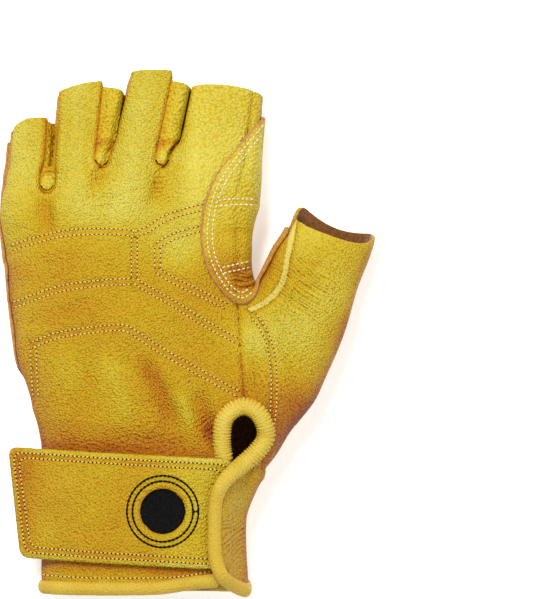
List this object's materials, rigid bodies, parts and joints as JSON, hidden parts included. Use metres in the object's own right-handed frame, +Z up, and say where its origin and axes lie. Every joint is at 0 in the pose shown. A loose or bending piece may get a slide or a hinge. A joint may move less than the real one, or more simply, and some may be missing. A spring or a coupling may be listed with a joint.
{
  "type": "half-finger climbing glove",
  "caption": "Half-finger leather climbing glove for the left hand, with a padded palm layer, a wide wrist strap with a clip hole and a bound cuff.",
  "frame": {"origin": "on the surface that the glove lies on, under the middle of its box", "axes": "+X towards the thumb, +Y from the cuff to the fingertips, +Z up out of the back of the hand; the palm lies down"},
  "size_m": [0.1498, 0.2092, 0.0331],
  "materials": {
    "leather": "golden yellow goat leather, fine grain, soft sheen",
    "welt_leather": "pale yellow turned edge",
    "loop_fabric": "black loop fabric, matte"
  },
  "bodies": {
    "root": {"back_panel": "leather", "palm_panel": "leather", "fourchette_little_ring": "leather", "fourchette_ring_middle": "leather", "fourchette_middle_index": "leather", "thumb_panel": "leather", "thumb_welt": "welt_leather", "palm_overlay": "leather", "cuff_strap": "leather", "loop_patch": "loop_fabric", "cuff_binding": "leather"}
  },
  "joints": []
}
